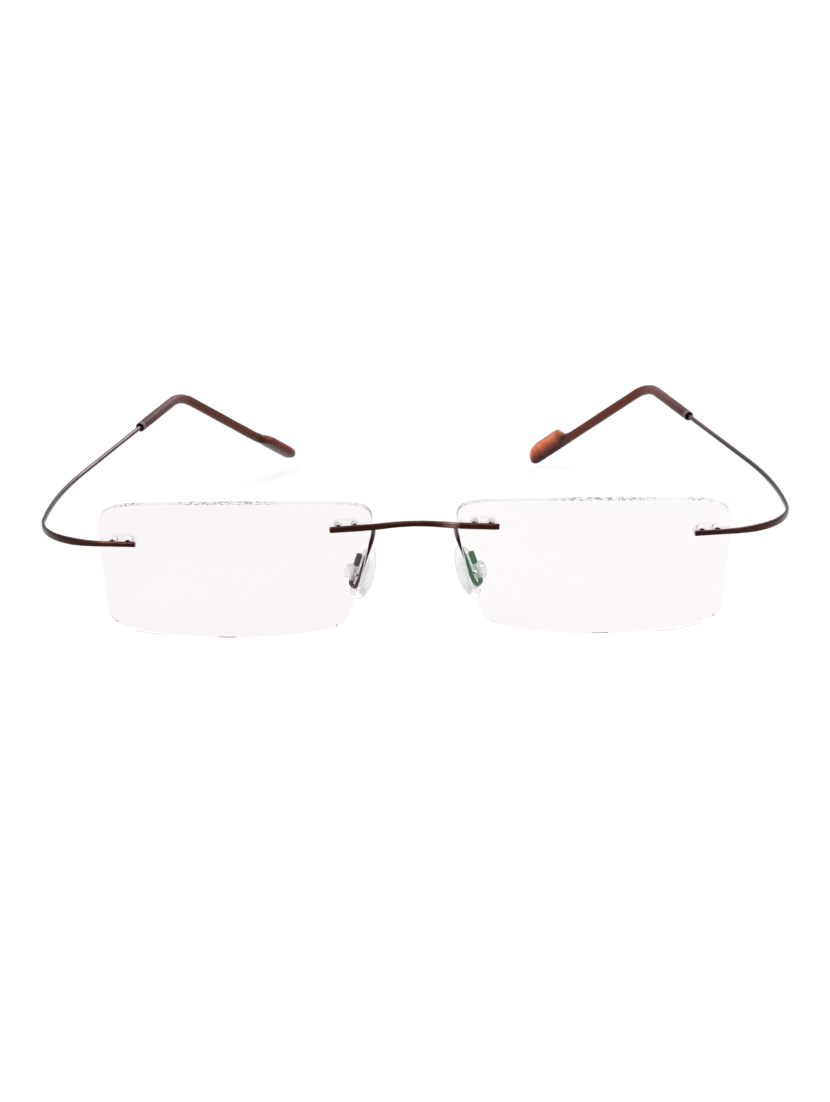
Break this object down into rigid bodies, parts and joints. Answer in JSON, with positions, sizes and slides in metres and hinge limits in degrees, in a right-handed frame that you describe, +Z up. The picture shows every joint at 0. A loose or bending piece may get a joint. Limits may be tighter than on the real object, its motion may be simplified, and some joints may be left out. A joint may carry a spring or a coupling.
{
  "type": "rimless eyeglasses",
  "caption": "Rimless eyeglasses with rectangular clear lenses, a wire bridge, springy hingeless wire temples, brown sleeves on the ear ends and clear nose pads.",
  "frame": {"origin": "middle of the bridge in plan, level with the bars at its ends and 1 mm in front of them", "axes": "+X to the wearer's left, +Y from the front towards the face, +Z up when worn"},
  "size_m": [0.1474, 0.1313, 0.0285],
  "materials": {
    "lens": "clear, coated",
    "wire": "dark brown plated titanium alloy",
    "clear_plastic": "clear",
    "silicone": "clear silicone",
    "tip_plastic": "translucent brown"
  },
  "bodies": {
    "front": {"left_lens": "lens", "right_lens": "lens", "bridge": "wire", "left_bridge_pins": "wire", "right_bridge_pins": "wire", "left_temple_pins": "wire", "right_temple_pins": "wire", "left_bridge_bushing": "clear_plastic", "right_bridge_bushing": "clear_plastic", "left_temple_bushing": "clear_plastic", "right_temple_bushing": "clear_plastic", "left_temple_bar": "wire", "right_temple_bar": "wire", "left_temple_flexure": "wire", "right_temple_flexure": "wire", "left_pad_arm": "wire", "right_pad_arm": "wire", "left_pad_tab": "wire", "right_pad_tab": "wire"},
    "left_temple": {"left_temple_wire": "wire", "left_temple_tip": "tip_plastic"},
    "right_temple": {"right_temple_wire": "wire", "right_temple_tip": "tip_plastic"},
    "left_pad": {"left_pad_core": "clear_plastic", "left_nose_pad": "silicone"},
    "right_pad": {"right_pad_core": "clear_plastic", "right_nose_pad": "silicone"}
  },
  "joints": [
    {"name": "left_temple_fold", "type": "hinge", "parent": "front", "child": "left_temple", "pos_m": [0.06916, 0.00904, -0.00307], "axis": [0, 0, 1], "range_deg": [-20, 70], "stiffness_Nm_per_rad": 0.06, "deforming": ["left_temple_flexure"]},
    {"name": "right_temple_fold", "type": "hinge", "parent": "front", "child": "right_temple", "pos_m": [-0.06916, 0.00904, -0.00307], "axis": [0, 0, -1], "range_deg": [-20, 60], "stiffness_Nm_per_rad": 0.06, "deforming": ["right_temple_flexure"]},
    {"name": "left_pad_rock", "type": "hinge", "parent": "front", "child": "left_pad", "pos_m": [0.01208, 0.00834, -0.01085], "axis": [-0.4439, -0.8829, -0.1528], "range_deg": [-8, 8]},
    {"name": "right_pad_rock", "type": "hinge", "parent": "front", "child": "right_pad", "pos_m": [-0.01208, 0.00834, -0.01085], "axis": [-0.4439, 0.8829, 0.1528], "range_deg": [-8, 8]}
  ]
}
